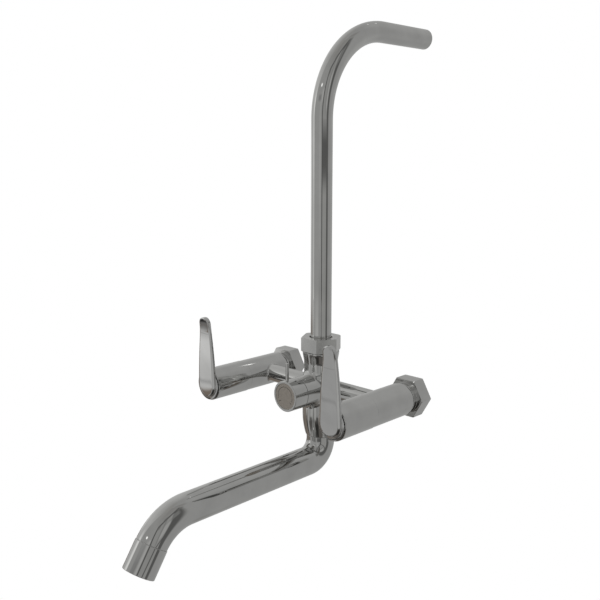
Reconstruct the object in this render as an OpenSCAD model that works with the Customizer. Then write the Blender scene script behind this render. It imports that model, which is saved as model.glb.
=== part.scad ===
// Wall-mounted mixer tap: two quarter-turn valves 150 mm apart, a centre column
// with a rotary diverter, a swivelling spout below and a bent riser pipe above.
// Millimetres, +Z up, -Y towards the user, +Y towards the wall.
// The origin is midway between the two inlets, on the rear plane of the union nuts.

/* [Setting out] */
// Distance between the two inlet centres
inlet_pitch = 150; // [146:1:156]
// Distance from the rear plane of the nuts to the column axis
column_setback = 38; // [36:0.5:40]

/* [Valve barrels] */
// Radius of the rear part of each barrel
barrel_r = 14.1; // [13.8:0.1:14.3]
// Radius of the front sleeve over each valve
sleeve_r = 14.35; // [14.2:0.05:15]
// Distance from the rear plane to the step between barrel and sleeve
barrel_step = 66.1; // [65.5:0.1:67]
// Distance from the rear plane to the front rim of the sleeve
sleeve_front = 105.9; // [105.5:0.1:106.2]
// Radius of the two cross arms
arm_r = 8.22; // [7.5:0.1:8.6]

/* [Wall unions] */
// Width across flats of the union nuts
union_af = 32; // [31:0.5:34]
// Length of the union nuts
union_len = 13; // [12.5:0.1:13.5]
// Bore radius of the union nuts, for a G 3/4 internal thread
union_bore_r = 12.1; // [12:0.05:12.3]
// Radius of the round collar in front of each union nut
union_collar_r = 13; // [12.5:0.1:13.4]

/* [Levers] */
// Height of the lever tip above the valve axis
lever_top = 62.7; // [55:0.1:75]
// Half width of the lever at its base
lever_base_w = 11.3; // [10:0.1:11.5]
// Radius of the rounded lever tip
lever_tip_r = 6.5; // [5:0.1:7]
// Thickness of the lever blade
lever_t = 4.4; // [3:0.1:5]
// Radius of the lever's round base
lever_disc_r = 13.8; // [12.5:0.1:14.3]

/* [Column] */
// Radius of the column at its top collar
col_top_r = 16.4; // [16.2:0.1:16.8]
// Radius of the column at its waist
col_waist_r = 15; // [14.8:0.1:15.4]
// Radius of the column at its belly
col_belly_r = 16.4; // [16:0.1:17]
// Height of the column's top face above the valve axis
col_top = 33; // [32:0.1:33.1]
// Depth of the column's lower end below the valve axis
col_bottom = 44.5; // [44:0.1:45]

/* [Riser pipe] */
// Outer radius of the riser pipe
riser_r = 9.22; // [9:0.01:9.3]
// Wall thickness of the riser pipe
riser_wall = 1.1; // [0.8:0.1:1.6]
// Height of the riser's horizontal arm above the valve axis
riser_top = 312.7; // [250:0.1:400]
// Bend radius of the riser, on its centre line
riser_bend = 79; // [60:1:90]
// Distance from the rear plane of the nuts to the end of the riser
riser_end = 105.2; // [80:0.1:140]
// Width across flats of the riser nut
riser_nut_af = 32; // [31:0.5:34]

/* [Diverter] */
// Radius of the diverter housing and its knob
knob_r = 13.54; // [13:0.01:13.8]
// Distance from the rear plane to the seam behind the knob
knob_seam = 68; // [67.5:0.1:68]
// Distance from the rear plane to the face of the knob
knob_face = 83.3; // [83:0.1:84]
// Height of the pin's tip above the valve axis
pin_top = 29; // [24:0.5:34]

/* [Spout] */
// Outer radius of the spout tube
spout_r = 12.7; // [12.5:0.1:12.8]
// Wall thickness of the spout tube
spout_wall = 1; // [0.8:0.1:1.4]
// Bend radius under the column, on the centre line
spout_bend_1 = 18; // [17:0.5:24]
// Length of the straight part of the spout
spout_len = 134.7; // [90:0.1:220]
// Bend radius near the outlet, on the centre line
spout_bend_2 = 41.2; // [30:0.1:60]
// Angle of the outlet below the horizontal
spout_drop = 56.2; // [40:0.1:80]
// Outer radius of the aerator housing
aerator_r = 13.1; // [13:0.05:13.5]
// Length of the aerator housing
aerator_len = 23; // [22:0.5:26]

/* [Hidden] */
$fn = 96;
xc = inlet_pitch / 2;
yc = -column_setback;
z_in = -48.45;                       // where the spout starts to bend
z_sp = z_in - spout_bend_1;          // level of the spout's straight part
y_b1 = yc - spout_bend_1;            // end of the first bend
y_b2 = y_b1 - spout_len;             // start of the second bend
y_out = y_b2 - spout_bend_2 * sin(spout_drop);
z_out = z_sp - spout_bend_2 * (1 - cos(spout_drop));
plate_back = -106.7;                 // rear plane of the lever blade

// ---- helpers ----

// turned part on the Y axis, from points [radius, y]
module turn_y(pts) rotate([-90, 0, 0]) rotate_extrude() polygon(pts);

module rod_y(r, y0, y1) translate([0, min(y0, y1), 0]) rotate([-90, 0, 0]) cylinder(r = r, h = abs(y1 - y0));

module rod_x(r, x0, x1) translate([min(x0, x1), 0, 0]) rotate([0, 90, 0]) cylinder(r = r, h = abs(x1 - x0));

module rod_z(r, z0, z1) translate([0, 0, min(z0, z1)]) cylinder(r = r, h = abs(z1 - z0));

module ring_y(r0, r1, y0, y1) difference() {
    rod_y(r1, y0, y1);
    rod_y(r0, min(y0, y1) - 1, max(y0, y1) + 1);
}

// O-ring around the Y axis
module o_ring_y(r_mid, r_cord, y) translate([0, y, 0]) rotate([-90, 0, 0])
    rotate_extrude() translate([r_mid, 0]) circle(r = r_cord, $fn = 32);

module at_side(s) translate([s * xc, 0, 0]) children();

module at_column() translate([0, yc, 0]) children();

// local +Z along the jet, starting at the end of the spout's second bend
module at_outlet() translate([0, y_out, z_out]) rotate([90 + spout_drop, 0, 0]) children();

// ---- valve barrels ----

shoulder_r = 2.4;
function shoulder() = [for (i = [0:6]) let (a = i * 15)
    [barrel_r - shoulder_r * (1 - cos(90 - a)), -17.5 - shoulder_r * (1 - cos(a))]];

module valve_body(s) at_side(s) difference() {
    turn_y(concat([[9.05, -17.5]], shoulder(),
        [[barrel_r, -barrel_step], [12.3, -barrel_step], [12.3, -88], [10.2, -88],
         [10.2, -72], [10.8, -72], [10.8, -32.2], [6.6, -32.2], [6.6, -58], [4.6, -58],
         [4.6, -31.5], [6.6, -29.6], [9.05, -29.6]]));
    // port to the cross arm
    translate([0, yc, 0]) rod_x(5, -s * 8.6, -s * 20);
}

module cross_arm(s) color([0.62, 0.62, 0.61]) difference() {
    translate([0, yc, 0]) rod_x(arm_r, s * 11, s * (xc - 10));
    at_column() column_solid(0.02);
    rod_y(knob_r + 0.02, -70, yc);
    at_side(s) rod_y(barrel_r + 0.02, -66, -20);
    translate([0, yc, 0]) rod_x(5, s * 5, s * (xc - 5));
}

module front_sleeve(s) color([0.62, 0.62, 0.61]) at_side(s)
    turn_y([[12.6, -barrel_step - 0.15], [sleeve_r, -barrel_step - 0.15],
        [sleeve_r, -sleeve_front + 0.6], [sleeve_r - 0.5, -sleeve_front],
        [9.4, -sleeve_front], [9.4, -102.4], [12.6, -102.4]]);

// ---- wall unions ----

module union_tail(s) color([0.72, 0.6, 0.35]) at_side(s)
    turn_y([[7.2, -8.2], [11.85, -8.2], [11.85, -10.25], [10.8, -10.4], [10.8, -17.45],
        [9, -17.45], [9, -29.3], [7.2, -29.3]]);

module union_nut(s) color([0.62, 0.62, 0.61]) at_side(s) difference() {
    union() {
        intersection() {
            translate([0, -union_len, 0]) rotate([-90, 0, 0])
                cylinder(r = union_af / sqrt(3), h = union_len, $fn = 6);
            turn_y([[0, -union_len], [union_af / sqrt(3) - 1.1, -union_len],
                [union_af / sqrt(3) + 0.1, -union_len + 0.7], [union_af / sqrt(3) + 0.1, -0.5],
                [union_af / sqrt(3) - 0.8, 0], [0, 0]]);
        }
        // round collar that reaches forwards over the tail's neck
        turn_y([[10.5, -12], [union_collar_r, -12], [union_collar_r, -16.8],
            [union_collar_r - 0.3, -17.1], [10.5, -17.1]]);
    }
    // clearance for the neck: the lip behind it holds the tail's flange
    rod_y(11.1, -18, -10);
    // chamber for the flange and the washer, then the thread
    rod_y(12.6, -10.45, -6.75);
    rod_y(union_bore_r, -8, 1);
}

module union_washer(s) color([0.12, 0.12, 0.12]) at_side(s) ring_y(7.4, 11.8, -8.15, -6.7);

module inlet_strainer(s) color([0.75, 0.75, 0.72]) at_side(s) difference() {
    union() {
        ring_y(6.1, 7.15, -12.5, -8.3);
        rod_y(6.4, -12.5, -11.7);
    }
    for (i = [-2:2], k = [-2:2]) if (i * i + k * k < 7)
        translate([i * 2.1, 0, k * 2.1]) rod_y(0.7, -13, -11);
}

// ---- quarter-turn valves ----

module cartridge_body(s) color([0.75, 0.62, 0.36]) at_side(s) difference() {
    union() {
        turn_y([[8.25, -59.9], [9.4, -59.9], [9.4, -73], [10.15, -73], [10.15, -88.05],
            [4, -88.05], [4, -70.3], [8.25, -70.3]]);
        difference() {
            translate([0, -92.1, 0]) rotate([-90, 0, 0]) cylinder(r = 12.1, h = 4.05, $fn = 6);
            rod_y(4, -93, -87);
        }
        ring_y(4, 6.8, -98, -92.1);
    }
    // side windows for the water that has passed the discs
    translate([-3.5, -70.2, -12]) cube([7, 3.6, 24]);
}

module seat_seal(s) color([0.1, 0.1, 0.1]) at_side(s) ring_y(4.8, 8.1, -60.4, -58.1);

module fixed_disc(s) color([0.93, 0.92, 0.88]) at_side(s) difference() {
    rod_y(8.1, -63.5, -60.5);
    for (k = [-1, 1]) translate([0, 0, k * 4.7]) rod_y(2.4, -64, -60);
}

module moving_disc(s) color([0.88, 0.87, 0.84]) at_side(s) difference() {
    rod_y(8, -66.5, -63.55);
    for (k = [-1, 1]) translate([k * 4.7, 0, 0]) rod_y(2.4, -67, -63);
    translate([-2.05, -67, -9]) cube([4.1, 1.6, 18]);
}

module spindle(s) color([0.78, 0.66, 0.4]) at_side(s) {
    difference() {
        union() {
            intersection() {
                rod_y(7.8, -70.1, -65.5);
                translate([-2, -71, -9]) cube([4, 6, 18]);
            }
            rod_y(3.95, -103.8, -69);
        }
        ring_y(2.6, 5, -79.2, -77.6);
        ring_y(3.3, 5, -99.05, -98.15);
        // flats that key the lever bush
        for (k = [-1, 1]) translate([k * 4.9 - 1.5, -104, -5]) cube([3, 4.3, 10]);
    }
}

module spindle_o_ring(s) color([0.1, 0.1, 0.1]) at_side(s) o_ring_y(3.3, 0.66, -78.4);

module spindle_circlip(s) color([0.4, 0.4, 0.42]) at_side(s) difference() {
    ring_y(3.38, 5.7, -99, -98.2);
    translate([-1.5, -100, 0]) cube([3, 3, 8]);
}

// ---- levers ----

module lever_bush(s) color([0.9, 0.9, 0.86]) at_side(s) difference() {
    rod_y(5.55, -105.6, -100.2);
    difference() {
        rod_y(4, -104, -99);
        for (k = [-1, 1]) translate([k * 4.95 - 1.5, -105, -5]) cube([3, 4.7, 10]);
    }
}

// half width of the blade at height z, a shallow curve that narrows upwards
function lever_w(z) = lever_base_w - 0.036 * z - 0.00086 * z * z;
lever_join = lever_top - lever_tip_r + 0.85;
lever_steps = 12;
function lever_outline() = let (n = lever_steps, zj = lever_join, wj = lever_w(zj),
        a0 = asin(min(1, 0.85 / lever_tip_r)), rt = wj / cos(a0))
    concat(
        [for (i = [0:n]) let (z = zj * i / n) [lever_w(z), z]],
        [for (i = [1:11]) let (a = a0 + (180 - 2 * a0) * i / 12)
            [rt * cos(a), zj + (rt * sin(a) - 0.85) * (lever_top - zj) / (rt - 0.85)]],
        [for (i = [n:-1:0]) let (z = zj * i / n) [-lever_w(z), z]],
        [for (i = [1:23]) let (a = 180 + 180 * i / 24) [lever_base_w * cos(a), lever_base_w * sin(a)]]);

module lever(s) color([0.66, 0.66, 0.66]) at_side(s) difference() {
    union() {
        translate([0, plate_back, 0]) rotate([90, 0, 0]) linear_extrude(height = lever_t)
            polygon(lever_outline());
        turn_y([[0, plate_back], [lever_disc_r, plate_back], [lever_disc_r, plate_back - 1.5],
            [lever_base_w, plate_back - lever_t], [0, plate_back - lever_t]]);
        rod_y(8.4, -107, -100.1);
    }
    rod_y(5.6, -105.9, -99);
}

// ---- centre column ----

waist_z = 22;
belly_z = -24;
function ease(t) = t * t * (3 - 2 * t);
function col_r(z) = z > waist_z
    ? col_waist_r + (col_top_r - col_waist_r) * ease((z - waist_z) / (col_top - waist_z))
    : z > belly_z
    ? col_waist_r + (col_belly_r - col_waist_r) * ease((waist_z - z) / (waist_z - belly_z))
    : col_belly_r - pow(z - belly_z, 2) / 146;

// outer form of the column, grown by g all round
module column_solid(g = 0) rotate_extrude() polygon(concat(
    [[0, -col_bottom - g], [col_r(-col_bottom) - 0.4 + g, -col_bottom - g]],
    [for (i = [0:27]) let (z = -col_bottom + 0.4 + (col_top + col_bottom - 0.4) * i / 27) [col_r(z) + g, z + (i == 27 ? g : 0)]],
    [[0, col_top + g]]));

module centre_body() color([0.6, 0.6, 0.59]) difference() {
    union() {
        at_column() column_solid();
        rod_y(knob_r, -knob_seam, yc);
        // threaded spigot under the riser nut
        at_column() rod_z(13.1, col_top - 1, 41);
    }
    // diverter bore, closed by the column's rear wall
    rod_y(10, -knob_seam - 1, -28);
    // inlets from both arms
    translate([0, yc, 0]) rod_x(5, -20, 20);
    at_column() {
        rod_z(6, 0, 37);
        rod_z(9.3, 36.2, 42);
        rod_z(6, -21, 0);
        rod_z(11.45, -col_bottom - 1, -20.5);
    }
    // tapped hole for the spout screw, at the back
    translate([0, 0, -39.5]) rod_y(2, yc + 9, yc + 18);
}

// ---- riser ----

module riser_solid(r, e) {
    at_column() rod_z(r, 36.4 - e, riser_top - riser_bend);
    translate([0, yc + riser_bend, riser_top - riser_bend]) rotate([0, 90, 0]) rotate([0, 0, 180])
        rotate_extrude(angle = 90) translate([riser_bend, 0]) circle(r = r);
    translate([0, 0, riser_top]) rod_y(r, yc + riser_bend, riser_end + e);
}

module riser_pipe() color([0.63, 0.63, 0.62]) difference() {
    riser_solid(riser_r, 0);
    riser_solid(riser_r - riser_wall, 1);
}

module riser_nut() color([0.62, 0.62, 0.61]) at_column() difference() {
    intersection() {
        translate([0, 0, 33.2]) cylinder(r = riser_nut_af / sqrt(3), h = 12.7, $fn = 6);
        rotate_extrude() polygon([[0, 33.2], [riser_nut_af / sqrt(3) - 0.9, 33.2], [riser_nut_af / sqrt(3) + 0.1, 33.8],
            [riser_nut_af / sqrt(3) + 0.1, 45.3], [riser_nut_af / sqrt(3) - 0.9, 45.9], [0, 45.9]]);
    }
    rod_z(13.15, 32, 41.5);
    rotate_extrude() polygon([[0, 41.4], [12.3, 41.4], [12.3, 42.8], [10.2, 44.5], [10.2, 45.2], [11, 46.1], [0, 46.1]]);
}

module riser_olive() color([0.75, 0.62, 0.36]) at_column()
    rotate_extrude() polygon([[9.25, 41.1], [12.1, 41.1], [12.1, 42.6], [10.1, 44.2], [9.25, 44.2]]);

// ---- diverter ----

module diverter_sleeve() color([0.75, 0.62, 0.36]) difference() {
    rod_y(9.95, -66, -29.8);
    rod_y(7.4, -52, -27);
    rod_y(3.55, -67, -51);
    // flat channels that carry the water from the arms to the open rear end
    for (k = [-1, 1]) translate([k * 13.2 - 5, -45, -8]) cube([10, 20, 16]);
    // ports to the riser and to the spout
    translate([0, yc, 0]) rod_z(4.5, -12, 12);
}

module diverter_rotor() color([0.2, 0.2, 0.2]) difference() {
    rod_y(7.33, -50, -30);
    rod_y(5.2, -46, -29);
    // window, turned to the right while the pin stands up
    for (a = [-50, 0, 50]) translate([0, yc, 0]) rotate([0, a, 0]) rod_x(4.3, 0, 10);
    // slot for the spindle's tang
    translate([-1.3, -51, -5]) cube([2.6, 3, 10]);
}

module diverter_spindle() color([0.78, 0.66, 0.4]) difference() {
    union() {
        translate([-1.2, -51, -4.5]) cube([2.4, 2.8, 9]);
        rod_y(6.5, -51.8, -50.2);
        rod_y(3.5, -74, -51.5);
    }
    ring_y(2.2, 5, -59, -57.4);
    rod_y(1.55, -75, -69);
    // flat that keys the knob
    translate([-5, -75, 2.7]) cube([10, 5.7, 3]);
}

module diverter_o_ring() color([0.1, 0.1, 0.1]) o_ring_y(2.87, 0.62, -58.2);

module diverter_knob() color([0.64, 0.64, 0.63]) difference() {
    union() {
        difference() {
            turn_y([[0, -74.2], [12.2, -74.2], [12.2, -knob_seam - 0.3], [knob_r - 0.3, -knob_seam - 0.3], [knob_r, -knob_seam - 0.6],
                [knob_r, -knob_face + 0.5], [knob_r - 0.5, -knob_face], [11.5, -knob_face], [11.5, -82.2], [0, -82.2]]);
        }
        rod_y(6, -75, -69);
    }
    difference() {
        rod_y(3.55, -74.2, -68);
        translate([-5, -76, 2.75]) cube([10, 5.5, 3]);
    }
    rod_y(1.65, -80, -74);
    rod_y(3.1, -83, -79);
    // tapped hole for the pin
    translate([0, -80.4, 0]) rod_z(1.51, 9, 15);
}

module diverter_screw() color([0.5, 0.5, 0.52]) difference() {
    union() {
        rod_y(1.5, -79.2, -70.2);
        rod_y(2.9, -81.6, -79.1);
    }
    // cross recess
    for (a = [0, 90]) rotate([0, a, 0]) translate([-1.7, -82, -0.35]) cube([3.4, 1.6, 0.7]);
}

module index_plate() color([0.5, 0.46, 0.42]) rod_y(11.4, -83, -82.25);

module knob_pin() color([0.62, 0.62, 0.61]) translate([0, -80.4, 0]) rotate_extrude()
    polygon([[0, 9.3], [1.46, 9.3], [1.46, pin_top - 0.5], [1, pin_top], [0, pin_top]]);

// ---- spout ----

module bend(r_mid, r, a0, a) rotate([0, 90, 0]) rotate([0, 0, a0])
    rotate_extrude(angle = a) translate([r_mid, 0]) circle(r = r);

module spout_solid(r, top, e) {
    at_column() rod_z(r, top, z_in);
    translate([0, y_b1, z_in]) bend(spout_bend_1, r, 0, 90);
    translate([0, 0, z_sp]) rod_y(r, y_b2, y_b1);
    translate([0, y_b2, z_sp - spout_bend_2]) bend(spout_bend_2, r, 180, spout_drop);
}

module spout_tube() color([0.6, 0.6, 0.59]) difference() {
    union() {
        spout_solid(spout_r, -col_bottom - 0.3, 0);
        at_column() rod_z(11.38, -48, -21.2);
        // threaded neck inside the aerator housing
        at_outlet() rod_z(12, -1.5, 8);
    }
    spout_solid(spout_r - spout_wall, -48.2, 0);
    at_column() rod_z(8.8, -49, -20);
    at_outlet() rod_z(10.8, -3, 9);
    at_outlet() difference() {
        rod_z(14, -0.9, 3);
        rod_z(12, -2, 4);
    }
    // grooves for the two O-rings and the retaining screw
    at_column() for (g = [[10, -26.9, -24.7], [10, -31.9, -29.7], [10.2, -42, -37]]) difference() {
        rod_z(13, g[1], g[2]);
        rod_z(g[0], g[1] - 1, g[2] + 1);
    }
}

module spout_o_rings() color([0.1, 0.1, 0.1]) at_column() for (z = [-25.8, -30.8])
    translate([0, 0, z]) rotate_extrude() translate([10.72, 0]) circle(r = 0.68, $fn = 32);

module spout_screw() color([0.35, 0.35, 0.37]) translate([0, 0, -39.5]) difference() {
    rod_y(1.95, yc + 10.9, yc + 14);
    translate([0, yc + 12.4, 0]) rotate([-90, 0, 0]) cylinder(r = 1.15, h = 3, $fn = 6);
}

module aerator_housing() color([0.6, 0.6, 0.59]) at_outlet() rotate_extrude() polygon([
    [12.05, -0.7], [aerator_r - 0.2, -0.7], [aerator_r, -0.5], [aerator_r, aerator_len - 1.1],
    [aerator_r - 0.35, aerator_len - 0.75], [10.6, aerator_len - 0.75], [10.6, aerator_len - 2.6],
    [12.05, aerator_len - 2.6]]);

module aerator_washer() color([0.1, 0.1, 0.1]) at_outlet() difference() {
    rod_z(11.9, 8.1, 9.6);
    rod_z(9, 7, 11);
}

module aerator_insert() color([0.8, 0.8, 0.78]) at_outlet() difference() {
    union() {
        rod_z(11.9, 9.7, 11.6);
        rod_z(10.4, 9.7, aerator_len - 2);
    }
    rod_z(9.2, 9, 17.6);
    for (i = [-3:3], k = [-3:3]) if (i * i + k * k < 11)
        translate([i * 2.4, k * 2.4, 0]) rod_z(0.85, 9, aerator_len);
}

// ---- placement ----

color([0.62, 0.62, 0.61]) valve_body(-1);  // valve_body_left
color([0.62, 0.62, 0.61]) valve_body(1);  // valve_body_right
cross_arm(-1);  // cross_arm_left
cross_arm(1);  // cross_arm_right
centre_body();
front_sleeve(-1);  // front_sleeve_left
front_sleeve(1);  // front_sleeve_right
union_tail(-1);  // union_tail_left
union_tail(1);  // union_tail_right
union_nut(-1);  // union_nut_left
union_nut(1);  // union_nut_right
union_washer(-1);  // union_washer_left
union_washer(1);  // union_washer_right
inlet_strainer(-1);  // inlet_strainer_left
inlet_strainer(1);  // inlet_strainer_right
cartridge_body(-1);  // cartridge_body_left
cartridge_body(1);  // cartridge_body_right
seat_seal(-1);  // seat_seal_left
seat_seal(1);  // seat_seal_right
fixed_disc(-1);  // fixed_disc_left
fixed_disc(1);  // fixed_disc_right
moving_disc(-1);  // moving_disc_left
moving_disc(1);  // moving_disc_right
spindle(-1);  // spindle_left
spindle(1);  // spindle_right
spindle_o_ring(-1);  // spindle_o_ring_left
spindle_o_ring(1);  // spindle_o_ring_right
spindle_circlip(-1);  // spindle_circlip_left
spindle_circlip(1);  // spindle_circlip_right
lever_bush(-1);  // lever_bush_left
lever_bush(1);  // lever_bush_right
lever(-1);  // lever_left
lever(1);  // lever_right
riser_pipe();
riser_nut();
riser_olive();
diverter_sleeve();
diverter_rotor();
diverter_spindle();
diverter_o_ring();
diverter_knob();
diverter_screw();
index_plate();
knob_pin();
spout_tube();
spout_o_rings();
spout_screw();
aerator_housing();
aerator_insert();
aerator_washer();
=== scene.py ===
import math

import bpy
import numpy as np
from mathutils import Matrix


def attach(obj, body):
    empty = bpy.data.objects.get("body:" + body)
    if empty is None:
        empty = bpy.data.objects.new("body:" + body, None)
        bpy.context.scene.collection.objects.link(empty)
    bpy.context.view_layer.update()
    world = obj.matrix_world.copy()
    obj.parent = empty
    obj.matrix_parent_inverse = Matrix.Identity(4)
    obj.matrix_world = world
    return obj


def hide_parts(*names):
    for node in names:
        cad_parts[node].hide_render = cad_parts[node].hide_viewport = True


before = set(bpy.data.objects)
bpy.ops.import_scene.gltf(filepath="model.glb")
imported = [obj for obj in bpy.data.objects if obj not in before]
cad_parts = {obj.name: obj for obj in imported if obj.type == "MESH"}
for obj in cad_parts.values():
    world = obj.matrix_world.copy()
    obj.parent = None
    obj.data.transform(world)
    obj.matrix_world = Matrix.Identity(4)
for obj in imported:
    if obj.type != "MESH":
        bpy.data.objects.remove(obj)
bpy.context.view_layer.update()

# Lengths below are in millimetres, as on a drawing, and become metres when a mesh is made.
MM = 0.001
XC = 75.0            # valve axes at x = +-75
YC = -38.0           # column axis
TAU = 2 * math.pi


# ---------------------------------------------------------------- mesh tools

def make(name, verts, faces, vnorm=None, lnorm=None, body="body", replaces=(), slot=None, mat=None):
    """A smooth-shaded mesh object from arrays. faces is a list of index arrays, each (n, 3) or (n, 4)."""
    verts = np.asarray(verts, float)
    faces = [np.asarray(f, np.int64) for f in faces if len(f)]
    me = bpy.data.meshes.new(name)
    me.vertices.add(len(verts))
    me.vertices.foreach_set("co", (verts * MM).astype(np.float32).ravel())
    loops = np.concatenate([f.ravel() for f in faces])
    counts = np.concatenate([np.full(len(f), f.shape[1]) for f in faces])
    starts = np.concatenate([[0], np.cumsum(counts)[:-1]])
    me.loops.add(len(loops))
    me.loops.foreach_set("vertex_index", loops.astype(np.int32))
    me.polygons.add(len(counts))
    me.polygons.foreach_set("loop_start", starts.astype(np.int32))
    me.polygons.foreach_set("loop_total", counts.astype(np.int32))
    me.update(calc_edges=True)
    me.polygons.foreach_set("use_smooth", np.ones(len(counts), bool))
    if vnorm is not None:
        n = np.asarray(vnorm, float)
        n /= np.maximum(np.linalg.norm(n, axis=1), 1e-9)[:, None]
        me.normals_split_custom_set_from_vertices(n.tolist())
    if lnorm is not None:
        n = np.asarray(lnorm, float)
        n /= np.maximum(np.linalg.norm(n, axis=1), 1e-9)[:, None]
        me.normals_split_custom_set(n.tolist())
    ob = bpy.data.objects.new(name, me)
    bpy.context.scene.collection.objects.link(ob)
    if mat is not None:
        me.materials.append(mat)
    if replaces:
        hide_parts(*replaces)
    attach(ob, body)
    return ob


def frame_of(axis, ref):
    """Unit vectors (u, v, w) with w along axis and u near ref."""
    w = np.asarray(axis, float)
    w = w / np.linalg.norm(w)
    u = np.asarray(ref, float)
    u = u - w * (u @ w)
    u = u / np.linalg.norm(u)
    return u, np.cross(w, u), w


def profile(points, arc=3):
    """Closed outline in (s, r), walked with the solid on the right. A point is (s, r) or (s, r, fillet).
    Returns [(s, r, normal in, normal out)]: the two normals differ at a sharp corner."""
    n = len(points)
    P = [np.array(p[:2], float) for p in points]
    out = []
    for i in range(n):
        a, p, b = P[i - 1], P[i], P[(i + 1) % n]
        d0 = (p - a) / np.linalg.norm(p - a)
        d1 = (b - p) / np.linalg.norm(b - p)
        n0, n1 = np.array([-d0[1], d0[0]]), np.array([-d1[1], d1[0]])
        f = points[i][2] if len(points[i]) > 2 else 0
        cosang = float(np.clip(d0 @ d1, -1, 1))
        ang = math.acos(cosang)
        if f <= 0 or ang < 0.02:
            out.append((p, n0, n1))
            continue
        t = f * math.tan(ang / 2)
        side = 1.0 if d0[0] * d1[1] - d0[1] * d1[0] < 0 else -1.0      # 1: the corner is convex
        p0 = p - d0 * t
        c = p0 - n0 * f * side
        a0 = math.atan2(n0[1], n0[0])
        a1 = math.atan2(n1[1], n1[0])
        da = (a1 - a0 + math.pi) % TAU - math.pi
        for k in range(arc + 1):
            th = a0 + da * k / arc
            m = np.array([math.cos(th), math.sin(th)])
            out.append((c + m * f * side, m, m))
    return out


def lathe(points, origin, axis, ref=(0, 0, 1), segs=144, arc=3):
    """Solid of revolution. points is a closed outline for profile(). Where r is 0 the rings close to a point."""
    prof = profile(points, arc)
    u, v, w = frame_of(axis, ref)
    o = np.asarray(origin, float)
    th = np.arange(segs) * TAU / segs
    rad = np.cos(th)[:, None] * u + np.sin(th)[:, None] * v
    verts, index, quads, tris = [], [], [], []
    count = 0
    for p, _, _ in prof:
        if p[1] < 1e-6:
            verts.append((o + w * p[0])[None])
            index.append(np.full(segs, count))
            count += 1
        else:
            verts.append(o + w * p[0] + rad * p[1])
            index.append(count + np.arange(segs))
            count += segs
    verts = np.concatenate(verts)
    qn, tn = [], []
    m = len(prof)
    for i in range(m):
        k = (i + 1) % m
        a, b = index[i], index[k]
        on_a, on_b = prof[i][0][1] < 1e-6, prof[k][0][1] < 1e-6
        if on_a and on_b:
            continue
        na = prof[i][2][0] * w + prof[i][2][1] * rad
        nb = prof[k][1][0] * w + prof[k][1][1] * rad
        a1, b1, na1, nb1 = np.roll(a, -1), np.roll(b, -1), np.roll(na, -1, 0), np.roll(nb, -1, 0)
        if on_a:
            tris.append(np.stack([a, b1, b], 1)); tn.append(np.stack([na, nb1, nb], 1))
        elif on_b:
            tris.append(np.stack([a, a1, b], 1)); tn.append(np.stack([na, na1, nb], 1))
        else:
            quads.append(np.stack([a, a1, b1, b], 1)); qn.append(np.stack([na, na1, nb1, nb], 1))
    faces, norms = [], []
    if quads:
        faces.append(np.concatenate(quads)); norms.append(np.concatenate(qn))
    if tris:
        faces.append(np.concatenate(tris)); norms.append(np.concatenate(tn))
    return face_out(verts, faces, norms)


def face_out(verts, faces, norms):
    """Turns every face so that it winds with its corner normals. Returns verts, faces, loop normals."""
    for f, n in zip(faces, norms):
        p = verts[f]
        if f.shape[1] == 4:
            g = np.cross(p[:, 2] - p[:, 0], p[:, 3] - p[:, 1])
        else:
            g = np.cross(p[:, 1] - p[:, 0], p[:, 2] - p[:, 0])
        bad = (g * n.mean(1)).sum(1) < 0
        f[bad] = f[bad][:, ::-1]
        n[bad] = n[bad][:, ::-1]
    return verts, faces, np.concatenate([n.reshape(-1, 3) for n in norms])


def build(name, part, **kw):
    verts, faces, ln = part
    return make(name, verts, faces, lnorm=ln, **kw)


def tube(rings, segs=144):
    """A closed tube swept along stations. A station is (centre, tangent, radius, normal along, normal out) and
    two stations may share a place; the list closes on itself, so it holds the outer skin and then the bore."""
    th = np.arange(segs) * TAU / segs
    x = np.array([1.0, 0.0, 0.0])                  # every path lies in the plane x = 0
    V, M = [], []
    for c, t, r, along, outw in rings:
        t = np.asarray(t, float); t = t / np.linalg.norm(t)
        b = np.cross(t, x)
        rad = np.cos(th)[:, None] * x + np.sin(th)[:, None] * b
        V.append(np.asarray(c, float) + rad * r)
        M.append((rad, t))
    n = len(rings)
    quads, qn = [], []
    for i in range(n):
        k = (i + 1) % n
        a, b = i * segs + np.arange(segs), k * segs + np.arange(segs)
        na = rings[i][4][1] * M[i][0] + rings[i][4][0] * M[i][1]
        nb = rings[k][3][1] * M[k][0] + rings[k][3][0] * M[k][1]
        quads.append(np.stack([a, np.roll(a, -1), np.roll(b, -1), b], 1))
        qn.append(np.stack([na, np.roll(na, -1, 0), np.roll(nb, -1, 0), nb], 1))
    return face_out(np.concatenate(V), [np.concatenate(quads)], [np.concatenate(qn)])


def stations(path, prof):
    """Stations for tube() from a path function s -> (point, tangent) and an outline in (s, r) as for profile()."""
    out = []
    for p, n0, n1 in prof:
        c, t = path(p[0])
        out.append((c, t, p[1], n0, n1))
    return out


def subdivide(prof, cuts):
    """Adds points on an outline's long runs wherever it passes one of the cuts in s, so that it can bend there."""
    out = []
    m = len(prof)
    for i in range(m):
        p, n0, n1 = prof[i]
        q, q0, _ = prof[(i + 1) % m]
        out.append(prof[i])
        lo, hi = sorted((p[0], q[0]))
        if hi - lo < 1e-6:
            continue
        inner = [c for c in cuts if lo + 1e-4 < c < hi - 1e-4]
        if q[0] < p[0]:
            inner = inner[::-1]
        for c in inner:
            f = (c - p[0]) / (q[0] - p[0])
            out.append((p + (q - p) * f, n1, n1))
    return out


# ---------------------------------------------------------------- implicit surfaces

def grid_axis(keys, step):
    """Grid planes through all keys with gaps of at most step."""
    out = [keys[0]]
    for a, b in zip(keys[:-1], keys[1:]):
        n = max(1, int(math.ceil((b - a) / step - 1e-9)))
        out += [a + (b - a) * k / n for k in range(1, n + 1)]
    return np.array(out)


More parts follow.
